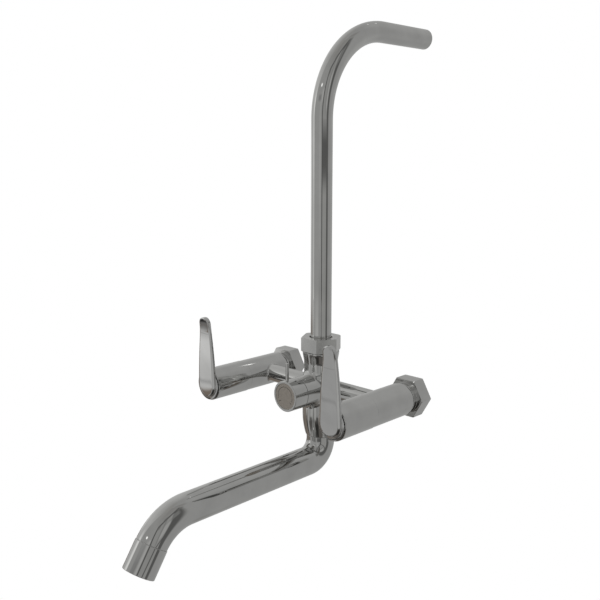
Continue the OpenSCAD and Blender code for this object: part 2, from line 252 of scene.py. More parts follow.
def gradient(f, p, e=0.02):
    g = np.empty_like(p)
    for a in range(3):
        d = np.zeros(3); d[a] = e
        q0, q1 = p - d, p + d
        g[:, a] = (f(q1[:, 0], q1[:, 1], q1[:, 2]) - f(q0[:, 0], q0[:, 1], q0[:, 2])) / (2 * e)
    return g


def dual(f, xs, ys, zs, snaps=(), rounds=7):
    """Mesh of f = 0 with one point in each cell that the surface crosses, moved onto the surface.
    snaps holds edges (axis, centre, radius, place along the axis, normal along, normal out) that points are put on."""
    G = (xs, ys, zs)
    V = np.empty((len(xs), len(ys), len(zs)), np.float32)
    for i in range(0, len(xs), 12):
        V[i:i + 12] = f(xs[i:i + 12, None, None], ys[None, :, None], zs[None, None, :])
    S = V < 0
    cnt = sum(S[i:S.shape[0] - 1 + i, j:S.shape[1] - 1 + j, k:S.shape[2] - 1 + k].astype(np.uint8)
              for i in (0, 1) for j in (0, 1) for k in (0, 1))
    act = (cnt > 0) & (cnt < 8)
    idx = np.full(act.shape, -1, np.int64)
    cells = np.argwhere(act)
    idx[act] = np.arange(len(cells))
    P, W = np.zeros((len(cells), 3)), np.zeros(len(cells))
    I = cells.T
    for a in range(3):
        b, c = [q for q in range(3) if q != a]
        for ob in (0, 1):
            for oc in (0, 1):
                lo = [None] * 3
                lo[a], lo[b], lo[c] = I[a], I[b] + ob, I[c] + oc
                hi = list(lo); hi[a] = I[a] + 1
                v0, v1 = V[tuple(lo)].astype(float), V[tuple(hi)].astype(float)
                m = (v0 < 0) != (v1 < 0)
                t = np.where(m, v0 / np.where(m, v0 - v1, 1), 0)
                p = np.empty((len(cells), 3))
                p[:, a] = G[a][lo[a]] + t * (G[a][hi[a]] - G[a][lo[a]])
                p[:, b] = G[b][lo[b]]
                p[:, c] = G[c][lo[c]]
                P[m] += p[m]
                W[m] += 1
    P /= W[:, None]
    for _ in range(rounds):
        d = f(P[:, 0], P[:, 1], P[:, 2])
        g = gradient(f, P)
        step = -(d / np.maximum((g * g).sum(1), 0.2))[:, None] * g
        P += np.clip(step, -0.35, 0.35)
    N = gradient(f, P, 0.03)
    for ax, cen, rad, place, along, outw in snaps:
        b, c = [q for q in range(3) if q != ax]
        layer = (G[ax][I[ax]] <= place) & (G[ax][I[ax] + 1] > place)
        rr = [np.hypot(G[b][I[b] + ob] - cen[b], G[c][I[c] + oc] - cen[c]) for ob in (0, 1) for oc in (0, 1)]
        m = layer & (np.minimum.reduce(rr) <= rad) & (np.maximum.reduce(rr) >= rad)
        q = P[m] - np.asarray(cen, float)
        q[:, ax] = 0
        q /= np.linalg.norm(q, axis=1)[:, None]
        P[m] = np.asarray(cen, float) + q * rad
        P[m, ax] = place
        n = q * outw
        n[:, ax] = along
        N[m] = n
    quads = []
    for a in range(3):
        b, c = (a + 1) % 3, (a + 2) % 3
        s0 = np.take(S, np.arange(S.shape[a] - 1), a)
        s1 = np.take(S, np.arange(1, S.shape[a]), a)
        e = np.argwhere(s0 != s1)
        e = e[(e[:, b] > 0) & (e[:, c] > 0) & (e[:, b] < S.shape[b] - 1) & (e[:, c] < S.shape[c] - 1)]
        inside = s0[tuple(e.T)]
        def at(db, dc):
            q = e.copy(); q[:, b] -= db; q[:, c] -= dc
            return idx[tuple(q.T)]
        quad = np.stack([at(1, 1), at(0, 1), at(0, 0), at(1, 0)], 1)
        quad[~inside] = quad[~inside][:, ::-1]
        quads.append(quad)
    return P, np.concatenate(quads), N


def round_union(a, b, r):
    u, v = np.maximum(r - a, 0), np.maximum(r - b, 0)
    return np.maximum(r, np.minimum(a, b)) - np.sqrt(u * u + v * v)


def round_cut(a, b, r):
    u, v = np.maximum(r + a, 0), np.maximum(r + b, 0)
    return np.minimum(-r, np.maximum(a, b)) + np.sqrt(u * u + v * v)


def chamfer_cut(a, b, c):
    return np.maximum(np.maximum(a, b), (a + b + c) * 0.70710678)


# ---------------------------------------------------------------- cast body

def ease(t):
    t = np.clip(t, 0, 1)
    return t * t * (3 - 2 * t)


def col_r(z):
    hi = 15 + 1.4 * ease((z - 22) / 11)
    mid = 15 + 1.4 * ease((22 - z) / 46)
    lo = 16.4 - np.minimum(z + 24, 0) ** 2 / 146
    return np.where(z > 22, hi, np.where(z > -24, mid, lo))


ARM_BARREL, ARM_COLUMN, HOUSING_COLUMN = 1.5, 3.2, 4.0


def body_sdf(x, y, z):
    ax = np.abs(x)
    rb = np.hypot(ax - XC, z)
    rc = np.hypot(x, y - YC)
    ra = np.hypot(y - YC, z)
    rh = np.hypot(x, z)
    barrel = round_cut(rb - 14.1, y + 17.5, 2.4)
    barrel = chamfer_cut(barrel, -66.1 - y, 0.3)
    boss = np.maximum(np.maximum(rb - 12.3, -88 - y), y + 60)
    ar, al = ra - 4.22, ax - 64                    # the arm ends just inside the barrel, with a soft end
    arm = np.hypot(np.maximum(ar, 0), np.maximum(al, 0)) + np.minimum(np.maximum(ar, al), 0) - 4
    column = chamfer_cut(rc - col_r(z), z - 33, 0.35)
    column = chamfer_cut(column, -44.5 - z, 0.4)
    spigot = np.maximum(np.maximum(rc - 13.1, z - 41), 30 - z)
    housing = np.maximum(chamfer_cut(rh - 13.54, -68 - y, 0.3), y - YC)
    d = round_union(round_union(column, arm, ARM_COLUMN), housing, HOUSING_COLUMN)
    d = round_union(d, barrel, ARM_BARREL)
    d = np.minimum(np.minimum(d, boss), spigot)
    # bores of the barrels
    cone = np.where(y < -29.6, 6.6 - (-29.6 - y) * (2.0 / 1.9), 9.05)
    rear = np.maximum(rb - np.maximum(cone, 4.6), -31.5 - y)
    tube_in = np.maximum(np.maximum(rb - 4.6, -59 - y), y + 31)
    chamber = np.maximum(np.maximum(rb - 10.8, -72 - y), y + 32.2)
    chamber = np.maximum(chamber, -np.maximum(rb - 6.6, -58 - y))
    front = np.maximum(np.maximum(rb - 10.2, -89 - y), y + 71.9)
    port = np.maximum(np.maximum(ra - 5, 4 - ax), ax - 66.4)
    for hole in (rear, tube_in, chamber, front, port):
        d = np.maximum(d, -hole)
    # bores of the column and of the diverter housing
    div = np.maximum(np.maximum(rh - 10, -70 - y), y + 28)
    up = np.maximum(np.maximum(rc - np.where(z > 36.2, 9.3, 6.0), -z), z - 42)
    down = np.maximum(rc - np.where(z < -20.5, 11.45, 6.0), z)
    for hole in (div, up, down):
        d = np.maximum(d, -hole)
    screw = np.maximum(np.hypot(x, z + 39.5) - 2, YC + 9 - y)
    return np.maximum(d, -screw)


def cast_body():
    h = 0.86
    half = grid_axis([0, 60.8, 89.6], h)
    xs = np.concatenate([-half[:0:-1], half])
    xs = xs + 0.013
    ys = grid_axis([-88.7, -68.15, -67.85, -67.4, -66.25, -65.95, -65.5, -17.2], h)
    zs = grid_axis([-45.0, -44.67, -44.33, -43.9, 32.4, 32.82, 33.2, 41.5], h)
    snaps = []
    for s in (-1, 1):
        c = (s * XC, 0, 0)
        snaps += [(1, c, 14.1, -65.8, 0, 1), (1, c, 13.8, -66.1, -1, 0)]
    snaps += [(1, (0, 0, 0), 13.54, -67.7, 0, 1), (1, (0, 0, 0), 13.24, -68.0, -1, 0)]
    rbot = float(col_r(np.array(-44.5)))
    snaps += [(2, (0, YC, 0), rbot, -44.1, 0, 1), (2, (0, YC, 0), rbot - 0.4, -44.5, -1, 0)]
    snaps += [(2, (0, YC, 0), 16.4, 32.65, 0, 1), (2, (0, YC, 0), 16.05, 33.0, 1, 0)]
    return dual(body_sdf, xs, ys, zs, snaps)


# ---------------------------------------------------------------- lever

LEVER_FRONT, LEVER_BACK = -111.1, -106.7


def lever_edge(x, z):
    """Distance inside (negative) or outside the blade's outline: round foot, tapering sides, round tip."""
    ax = np.abs(x)
    zz = np.clip(z, 0, 58)
    w = 11.3 - 0.036 * zz - 0.00086 * zz * zz
    wp = -0.036 - 0.00172 * zz
    side = (ax - w) / np.sqrt(1 + wp * wp)
    foot = np.hypot(x, z) - 11.3
    tip = np.hypot(x, z - 56.14) - 6.51
    return np.where(z < 0, foot, np.where(z - 56.14 > 0.134 * ax, tip, side))


def lever_sdf(x, y, z):
    edge = lever_edge(x, z)
    r = np.hypot(x, z)
    # a bevel runs round the face, a little steeper along the lower edge of the foot
    low = ease(-z / 8)
    wide = 2.0 - 0.6 * ease(z / 50) - 0.45 * ease((z - 50) / 8) - 0.2 * low
    pitch = 0.48 + 0.12 * low
    s = edge + wide
    root = np.sqrt(s * s + 0.09)
    bevel = pitch * 0.5 * (s + root)
    slope = pitch * 0.5 * (1 + s / root)
    # the face is hollowed and sweeps forwards again to the lip at the tip
    zt = z + 0.02 * x * x * ease((z - 50) / 8)
    front = LEVER_FRONT + 1.56 - 0.00085 * np.clip(zt - 38.5, 0, 22.7) ** 2.4 - 0.25 * np.clip((zt - 56) / 5.2, 0, 1) ** 3
    front = front + bevel * (1 - 0.6 * ease((z - 50) / 12))
    blade = round_cut(edge, (front - y) / np.sqrt(1 + slope * slope), 0.4)
    blade = round_cut(blade, y - LEVER_BACK + 0.7 * ease((z - 18) / 40), 0.35)
    # thin round base behind the blade
    rim = np.clip((r - 11.0) / 2.8, 0, 0.99)
    disc = (-107.35 + 0.45 * (1 - np.sqrt(1 - rim * rim)) - y)
    base = np.maximum(round_cut(disc, r - 13.8, 0.3), y - LEVER_BACK)
    d = round_union(blade, base, 0.3)
    hub = chamfer_cut(r - 8.4, y + 100.1, 0.3)
    hub = np.maximum(hub, -107.2 - y)
    d = np.minimum(d, hub)
    hole = np.maximum(r - 5.6, -105.9 - y)
    return np.maximum(d, -hole)


def lever_mesh():
    h = 0.46
    xs = grid_axis([-14.4, 14.45], h)
    ys = grid_axis([-111.5, -109.3, -107.3, -106.5, -99.8], 0.4)
    zs = grid_axis([-14.4, 63.2], h)
    return dual(lever_sdf, xs, ys, zs)


# ---------------------------------------------------------------- hexagon nuts

def hex_ring(circum, corner, per_flat=10, per_corner=3):
    """Points round a hexagon with its corners at angles 0, 60.. rounded by corner, as (angle, radius, normal angle)."""
    flat = circum * math.cos(math.pi / 6)
    pts = []
    for k in range(6):
        vert_angle = k * math.pi / 3
        cen = (circum - corner / math.cos(math.pi / 6))
        cx, cy = cen * math.cos(vert_angle), cen * math.sin(vert_angle)
        for j in range(per_corner + 1):
            na = vert_angle - math.pi / 6 + (math.pi / 3) * j / per_corner
            x, y = cx + corner * math.cos(na), cy + corner * math.sin(na)
            pts.append((x, y, na))
        na = vert_angle + math.pi / 6
        x0, y0 = pts[-1][0], pts[-1][1]
        nx_angle = (k + 1) * math.pi / 3
        ncx, ncy = cen * math.cos(nx_angle), cen * math.sin(nx_angle)
        x1, y1 = ncx + corner * math.cos(na), ncy + corner * math.sin(na)
        for j in range(1, per_flat):
            f = j / per_flat
            pts.append((x0 + (x1 - x0) * f, y0 + (y1 - y0) * f, na))
    x, y, na = np.array(pts).T
    return np.arctan2(y, x), np.hypot(x, y), na


def nut(circum, s0, s1, cut0, cut1, bore, origin, axis, ref, corner=0.45, bevel=0.28):
    """Hexagon nut between s0 and s1. cut0 and cut1 are (radial, axial) corner chamfers, and bore is the open
    outline (s, r[, fillet]) of its inside, walked from s1 to s0."""
    ang, rad, na = hex_ring(circum, corner)
    n = len(ang)
    u, v, w = frame_of(axis, ref)
    o = np.asarray(origin, float)
    dirs = np.cos(ang)[:, None] * u + np.sin(ang)[:, None] * v
    hexn = np.cos(na)[:, None] * u + np.sin(na)[:, None] * v
    rings = []                                     # (points, normal in, normal out)
    limit0, limit1 = circum - cut0[0], circum - cut1[0]

    def end(s, sign, limit, cut):
        over = np.maximum(rad - limit, 0)
        top = np.minimum(rad - bevel, limit - 0.02)
        drop = np.maximum(bevel, over * cut[1] / cut[0])
        return top, s - sign * drop

    top0, z0 = end(s0, -1, limit0, cut0)
    top1, z1 = end(s1, 1, limit1, cut1)
    up = np.repeat(w[None], n, 0)
    big0 = (np.maximum(rad - limit0, 0) * cut0[1] / cut0[0] > bevel)[:, None]
    big1 = (np.maximum(rad - limit1, 0) * cut1[1] / cut1[0] > bevel)[:, None]
    cone0 = dirs * cut0[1] - up * cut0[0]; cone0 /= np.linalg.norm(cone0, axis=1)[:, None]
    cone1 = dirs * cut1[1] + up * cut1[0]; cone1 /= np.linalg.norm(cone1, axis=1)[:, None]
    soft0 = np.where(big0, cone0, -up)
    soft1 = np.where(big1, cone1, up)
    rings.append((o + w * s0 + dirs * top0[:, None], -up, soft0))
    rings.append((o + w * z0[:, None] + dirs * rad[:, None], np.where(big0, cone0, hexn), hexn))
    rings.append((o + w * z1[:, None] + dirs * rad[:, None], hexn, np.where(big1, cone1, hexn)))
    rings.append((o + w * s1 + dirs * top1[:, None], soft1, up))
    pts = [(s1, 60.0)] + list(bore) + [(s0, 60.0)]
    prof = profile([tuple(p) for p in pts], 3)[1:-1]
    for p, n0, n1 in prof:
        a = n0[0] * w + n0[1] * dirs
        b = n1[0] * w + n1[1] * dirs
        rings.append((o + w * p[0] + dirs * p[1], a, b))
    quads, qn = [], []
    m = len(rings)
    for i in range(m):
        k = (i + 1) % m
        a, b = i * n + np.arange(n), k * n + np.arange(n)
        quads.append(np.stack([a, np.roll(a, -1), np.roll(b, -1), b], 1))
        qn.append(np.stack([rings[i][2], np.roll(rings[i][2], -1, 0), np.roll(rings[k][1], -1, 0), rings[k][1]], 1))
    return face_out(np.concatenate([r[0] for r in rings]), [np.concatenate(quads)], [np.concatenate(qn)])


def thread(s_from, s_to, r_crest, r_root, pitch):
    """Outline points of an internal thread as rounded ridges, walked from s_from to s_to."""
    n = max(1, int(round(abs(s_to - s_from) / pitch)))
    step = (s_to - s_from) / n
    out = []
    for k in range(n):
        a = s_from + step * k
        out += [(a + step * 0.12, r_crest, 0.12), (a + step * 0.42, r_root, 0.1),
                (a + step * 0.58, r_root, 0.1), (a + step * 0.88, r_crest, 0.12)]
    return out


# ---------------------------------------------------------------- materials

def nodes_of(name):
    mat = bpy.data.materials.new(name)
    mat.use_nodes = True
    t = mat.node_tree
    t.nodes.clear()
    out = t.nodes.new("ShaderNodeOutputMaterial")
    bsdf = t.nodes.new("ShaderNodeBsdfPrincipled")
    t.links.new(bsdf.outputs["BSDF"], out.inputs["Surface"])
    return mat, t, bsdf


def ramp(t, fac, stops):
    r = t.nodes.new("ShaderNodeValToRGB")
    e = r.color_ramp.elements
    while len(e) < len(stops):
        e.new(0.5)
    for k, (pos, col) in enumerate(stops):
        e[k].position = pos
        e[k].color = (*col, 1) if len(col) == 3 else col
    t.links.new(fac, r.inputs["Fac"])
    return r.outputs["Color"]


def noise(t, vec, scale, detail=3, rough=0.5):
    n = t.nodes.new("ShaderNodeTexNoise")
    n.inputs["Scale"].default_value = scale
    n.inputs["Detail"].default_value = detail
    n.inputs["Roughness"].default_value = rough
    t.links.new(vec, n.inputs["Vector"])
    return n.outputs["Fac"]


def mapped(t, scale):
    co = t.nodes.new("ShaderNodeTexCoord")
    m = t.nodes.new("ShaderNodeMapping")
    m.inputs["Scale"].default_value = scale
    t.links.new(co.outputs["Object"], m.inputs["Vector"])
    return m.outputs["Vector"]


def ranged(t, fac, lo, hi, a=0.3, b=0.7):
    m = t.nodes.new("ShaderNodeMapRange")
    m.inputs["From Min"].default_value = a
    m.inputs["From Max"].default_value = b
    m.inputs["To Min"].default_value = lo
    m.inputs["To Max"].default_value = hi
    t.links.new(fac, m.inputs["Value"])
    return m.outputs["Result"]


def bump(t, bsdf, height, dist, strength):
    b = t.nodes.new("ShaderNodeBump")
    b.inputs["Strength"].default_value = strength
    b.inputs["Distance"].default_value = dist
    t.links.new(height, b.inputs["Height"])
    t.links.new(b.outputs["Normal"], bsdf.inputs["Normal"])


def chrome(name, tone=(0.585, 0.585, 0.577), rough=(0.02, 0.05), grain=(300, 300, 300), wave=0.02, seed=0.0):
    """Polished chrome plate: faint cloudiness in tone and gloss, and the slight ripple of a buffed surface."""
    mat, t, b = nodes_of(name)
    b.inputs["Metallic"].default_value = 1.0
    v = mapped(t, (1, 1, 1))
    g = mapped(t, tuple(k / 300 for k in grain))
    cloud = noise(t, v, 55 + seed, 4, 0.55)
    fine = noise(t, g, 900 + seed * 10, 3, 0.6)
    lo = tuple(k * 0.94 for k in tone)
    hi = tuple(min(1, k * 1.05) for k in tone)
    t.links.new(ramp(t, cloud, [(0.3, lo), (0.52, tone), (0.72, hi)]), b.inputs["Base Color"])
    mix = t.nodes.new("ShaderNodeMath"); mix.operation = "MULTIPLY"
    t.links.new(cloud, mix.inputs[0]); t.links.new(fine, mix.inputs[1])
    t.links.new(ranged(t, mix.outputs[0], rough[0], rough[1], 0.12, 0.42), b.inputs["Roughness"])
    soft = noise(t, v, 38 + seed, 2, 0.4)
    bump(t, b, soft, 0.0006, wave)
    return mat


def plain(name, colours, rough=(0.4, 0.6), metallic=0.0, scale=260, bumpd=0.0002, strength=0.25, detail=4, ior=None):
    """Matt or satin material from noise between a few tones, with a fine surface grain."""
    mat, t, b = nodes_of(name)
    b.inputs["Metallic"].default_value = metallic
    if ior:
        b.inputs["IOR"].default_value = ior
    v = mapped(t, (1, 1, 1))
    n = noise(t, v, scale, detail, 0.6)
    n2 = noise(t, v, scale * 5, 2, 0.5)
    k = len(colours)
    t.links.new(ramp(t, n, [(0.3 + 0.4 * i / max(1, k - 1), c) for i, c in enumerate(colours)]), b.inputs["Base Color"])
    t.links.new(ranged(t, n, rough[0], rough[1]), b.inputs["Roughness"])
    bump(t, b, n2, bumpd, strength)
    return mat


M = {
    "body": chrome("chrome_cast", grain=(300, 120, 300), wave=0.03),
    "sleeve": chrome("chrome_turned", grain=(300, 40, 300), wave=0.02, seed=3),
    "nut": chrome("chrome_nut_plate", rough=(0.045, 0.09), seed=5),
    "lever": chrome("chrome_lever_plate", tone=(0.594, 0.594, 0.59), rough=(0.012, 0.03), wave=0.012, seed=7),
    "tube": chrome("chrome_tube_plate", grain=(300, 300, 30), seed=2),
    "spout": chrome("chrome_spout_plate", grain=(300, 30, 300), seed=9),
    "aerator": chrome("chrome_aerator_plate", seed=4),
    "knob": chrome("chrome_knob_plate", grain=(300, 40, 300), seed=6),
    "brass": plain("machined_brass", [(0.55, 0.36, 0.13), (0.66, 0.46, 0.19), (0.72, 0.53, 0.26)], (0.2, 0.36), 1.0, 420),
    # the olive's brass is darkened nearly to black: painted shade standing in for the shadow in the gap between the
    # riser nut and the pipe
    "olive": plain("brass_painted_gap_shade", [(0.10, 0.075, 0.045), (0.14, 0.105, 0.062), (0.18, 0.135, 0.08)], (0.3, 0.5), 1.0, 420),
    "rubber": plain("black_rubber", [(0.012, 0.012, 0.012), (0.02, 0.02, 0.021), (0.032, 0.032, 0.032)], (0.5, 0.75), 0, 500),
    "ceramic": plain("ceramic_white", [(0.78, 0.77, 0.73), (0.84, 0.83, 0.8), (0.88, 0.87, 0.85)], (0.12, 0.22), 0, 180, 0.00004, 0.1),
    "nylon": plain("nylon_white", [(0.7, 0.7, 0.66), (0.78, 0.78, 0.75), (0.83, 0.83, 0.8)], (0.35, 0.5), 0, 300),
    "plastic": plain("dark_plastic", [(0.03, 0.03, 0.032), (0.045, 0.045, 0.047), (0.06, 0.06, 0.062)], (0.35, 0.5), 0, 350),
    "mesh": plain("stainless_mesh", [(0.46, 0.46, 0.45), (0.55, 0.55, 0.54), (0.62, 0.62, 0.6)], (0.25, 0.38), 1.0, 600),
    "steel": plain("small_steel", [(0.28, 0.28, 0.29), (0.36, 0.36, 0.37), (0.44, 0.44, 0.44)], (0.25, 0.4), 1.0, 500),
    "tail": chrome("chrome_tail_plate", rough=(0.04, 0.08), seed=8),
}


# ---------------------------------------------------------------- pieces

Pb, Fb, Nb = cast_body()
make("cast_body", Pb, [Fb], vnorm=Nb, body="body", slot="chrome_body", mat=M["body"],
     replaces=("valve_body_left", "valve_body_right", "cross_arm_left", "cross_arm_right", "centre_body"))

Pl, Fl, Nl = lever_mesh()
for side, s in (("left", -1), ("right", 1)):
    make("lever_cast_" + side, Pl + np.array([s * XC, 0, 0]), [Fl], vnorm=Nl, body="handle_" + side,
         slot="chrome_lever", mat=M["lever"], replaces=("lever_" + side,))

    o = (s * XC, 0, 0)
    build("sleeve_turned_" + side, lathe(
        [(-105.9, 9.4, 0.25), (-105.9, 13.85, 0.3), (-105.3, 14.35, 0.35), (-66.25, 14.35, 0.12), (-66.25, 12.6, 0.1),
         (-102.4, 12.6, 0.2), (-102.4, 9.4, 0.1)], o, (0, 1, 0)),
        body="body", slot="chrome_sleeve", mat=M["sleeve"], replaces=("front_sleeve_" + side,))
    build("tail_turned_" + side, lathe(
        [(-29.3, 7.2, 0.15), (-29.3, 9, 0.3), (-17.45, 9, 0.1), (-17.45, 10.8, 0.4), (-10.4, 10.8, 0.1), (-10.25, 11.85, 0.2),
         (-8.2, 11.85, 0.2), (-8.2, 7.2, 0.2)], o, (0, 1, 0)),
        body="body", slot="chrome_tail", mat=M["tail"], replaces=("union_tail_" + side,))
    bore = [(0, 12.7, 0.2)] + [(-0.5, 12.1, 0.1)] + thread(-0.7, -6.3, 12.1, 12.55, 1.4) + [
        (-6.75, 12.1, 0.1), (-6.75, 12.6, 0.05), (-10.45, 12.6, 0.2), (-10.45, 11.1, 0.1),
        (-17.1, 11.1, 0.15), (-17.1, 13.0, 0.5), (-13, 13.0, 0.3)]
    build("nut_hex_" + side, nut(18.475, -13, 0, (1.1, 0.7), (0.9, 0.5), bore, o, (0, 1, 0), (1, 0, 0)),
          body="wall_nut_" + side, slot="chrome_nut", mat=M["nut"], replaces=("union_nut_" + side,))

build("riser_nut_hex", nut(18.475, 33.2, 45.9, (0.9, 0.6), (0.9, 0.6),
      [(45.9, 11.05, 0.1), (45.2, 10.25, 0.15), (44.5, 10.25, 0.1), (42.8, 12.3, 0.1), (41.4, 12.3, 0.1), (41.4, 13.15, 0.1)]
      + thread(40.6, 34.0, 13.15, 13.5, 1.4) + [(33.2, 13.4, 0.15)],
      (0, YC, 0), (0, 0, 1), (1, 0, 0)),
      body="body", slot="chrome_nut", mat=M["nut"], replaces=("riser_nut",))


def riser_path(s):
    """Along the riser from z 36.4: up, round the bend, and back to the wall."""
    up = 233.7 - 36.4
    arc = 79 * math.pi / 2
    if s <= up:
        return (0, YC, 36.4 + s), (0, 0, 1)
    if s <= up + arc:
        a = (s - up) / 79
        return (0, 41 - 79 * math.cos(a), 233.7 + 79 * math.sin(a)), (0, math.sin(a), math.cos(a))
    return (0, 41 + (s - up - arc), 312.7), (0, 1, 0)


R_UP, R_ARC, R_END = 197.3, 79 * math.pi / 2, 64.2
total = R_UP + R_ARC + R_END
cuts = list(np.linspace(8, R_UP, 20)) + list(R_UP + R_ARC * np.linspace(0, 1, 49)[1:]) + list(R_UP + R_ARC + R_END * np.linspace(0, 1, 9)[1:-1])
prof = subdivide(profile([(0, 8.12, 0.2), (0, 9.22, 0.3), (total, 9.22, 0.22), (total, 8.12, 0.2)], 3), cuts)
build("riser_bent", tube(stations(riser_path, prof), 128), body="body", slot="chrome_tube", mat=M["tube"], replaces=("riser_pipe",))

Z_IN, SB1, SLEN, SB2 = -48.45, 18.0, 134.7, 41.2
DROP = math.radians(56.2)


def spout_path(s):
    """Along the spout from z -44.8: down, forwards, and down again at the outlet. Outside 0..end it runs on straight."""
    down = 48.45 - 44.8
    arc1 = SB1 * math.pi / 2
    arc2 = SB2 * DROP
    if s <= down:
        return (0, YC, -44.8 - s), (0, 0, -1)
    s -= down
    if s <= arc1:
        a = s / SB1
        return (0, YC - SB1 * (1 - math.cos(a)), Z_IN - SB1 * math.sin(a)), (0, -math.sin(a), -math.cos(a))
    s -= arc1
    if s <= SLEN:
        return (0, YC - SB1 - s, Z_IN - SB1), (0, -1, 0)
    s -= SLEN
    if s <= arc2:
        a = s / SB2
        return (0, YC - SB1 - SLEN - SB2 * math.sin(a), Z_IN - SB1 - SB2 * (1 - math.cos(a))), (0, -math.cos(a), -math.sin(a))
    s -= arc2
    d = (0, -math.cos(DROP), -math.sin(DROP))
    e = (0, YC - SB1 - SLEN - SB2 * math.sin(DROP), Z_IN - SB1 - SB2 * (1 - math.cos(DROP)))
    return (0, e[1] + d[1] * s, e[2] + d[2] * s), d


S_DOWN, S_A1, S_A2 = 3.65, SB1 * math.pi / 2, SB2 * DROP
S_END = S_DOWN + S_A1 + SLEN + S_A2
cuts = (list(S_DOWN + S_A1 * np.linspace(0, 1, 37)) + list(S_DOWN + S_A1 + SLEN * np.linspace(0, 1, 19)[1:])
        + list(S_DOWN + S_A1 + SLEN + S_A2 * np.linspace(0, 1, 37)[1:]))
z2s = lambda z: -44.8 - z
prof = profile([
    (z2s(-21.2), 8.8, 0.2), (z2s(-21.2), 11.38, 0.4), (z2s(-24.7), 11.38, 0.1), (z2s(-24.7), 10, 0.1), (z2s(-26.9), 10, 0.1),
    (z2s(-26.9), 11.38, 0.1), (z2s(-29.7), 11.38, 0.1), (z2s(-29.7), 10, 0.1), (z2s(-31.9), 10, 0.1), (z2s(-31.9), 11.38, 0.1),
    (z2s(-37), 11.38, 0.1), (z2s(-37), 10.2, 0.1), (z2s(-42), 10.2, 0.1), (z2s(-42), 11.38, 0.1),
    (0, 11.38, 0.05), (0, 12.7, 0.3), (S_END - 0.9, 12.7, 0.15), (S_END - 0.9, 12.0, 0.05), (S_END + 8, 12, 0.3), (S_END + 8, 10.8, 0.1),
    (S_END, 10.8, 0.1), (S_END - 0.6, 11.7, 0.1), (3.4, 11.7, 0.1), (2.5, 8.8, 0.2)], 3)
build("spout_bent", tube(stations(spout_path, subdivide(prof, cuts)), 144), body="spout", slot="chrome_tube", mat=M["spout"],
      replaces=("spout_tube",))

OUT = (0, YC - SB1 - SLEN - SB2 * math.sin(DROP), Z_IN - SB1 - SB2 * (1 - math.cos(DROP)))
JET = (0, -math.cos(DROP), -math.sin(DROP))
build("aerator_shell", lathe(
    [(-0.7, 12.05, 0.05), (-0.7, 13.08, 0.35), (22.21, 13.08, 0.45), (22.21, 10.6, 0.5), (20.4, 10.6, 0.1), (20.4, 12.05, 0.1)],
    OUT, JET, (1, 0, 0)),
    body="spout", slot="chrome_aerator", mat=M["aerator"], replaces=("aerator_housing",))

build("knob_turned", lathe(
    [(-83.3, 11.5, 0.25), (-83.3, 13.54, 0.45), (-68.3, 13.54, 0.3), (-68.3, 12.2, 0.1), (-74.2, 12.2, 0.2), (-74.2, 6, 0.1), (-69, 6, 0.1),
     (-69, 3.55, 0.1), (-74.2, 3.55, 0.05), (-74.2, 1.65, 0.05), (-79, 1.65, 0.05), (-79, 3.1, 0.05), (-82.2, 3.1, 0.05), (-82.2, 11.5, 0.05)],
    (0, 0, 0), (0, 1, 0)),
    body="diverter", slot="chrome_knob", mat=M["knob"], replaces=("diverter_knob",))
build("pin_turned", lathe(
    [(9.3, 0), (9.3, 1.46, 0.1), (29, 1.46, 0.45), (29, 0)], (0, -80.4, 0), (0, 0, 1), (1, 0, 0), segs=64),
    body="diverter", slot="chrome_knob", mat=M["knob"], replaces=("knob_pin",))

CAD_LOOK = {
    "brass": ["cartridge_body_left", "cartridge_body_right", "spindle_left", "spindle_right", "diverter_sleeve", "diverter_spindle"],
    # the olive takes the near-black brass, painted shade for the gap round the riser pipe
    "olive": ["riser_olive"],
    "rubber": ["union_washer_left", "union_washer_right", "seat_seal_left", "seat_seal_right", "spindle_o_ring_left", "spindle_o_ring_right",
               "diverter_o_ring", "spout_o_rings", "aerator_washer"],
    "ceramic": ["fixed_disc_left", "fixed_disc_right", "moving_disc_left", "moving_disc_right"],
    "nylon": ["lever_bush_left", "lever_bush_right", "aerator_insert"],
    "plastic": ["diverter_rotor"],
    "mesh": ["inlet_strainer_left", "inlet_strainer_right"],
    "steel": ["spindle_circlip_left", "spindle_circlip_right", "diverter_screw", "spout_screw"],
    "plate": ["index_plate"],
}


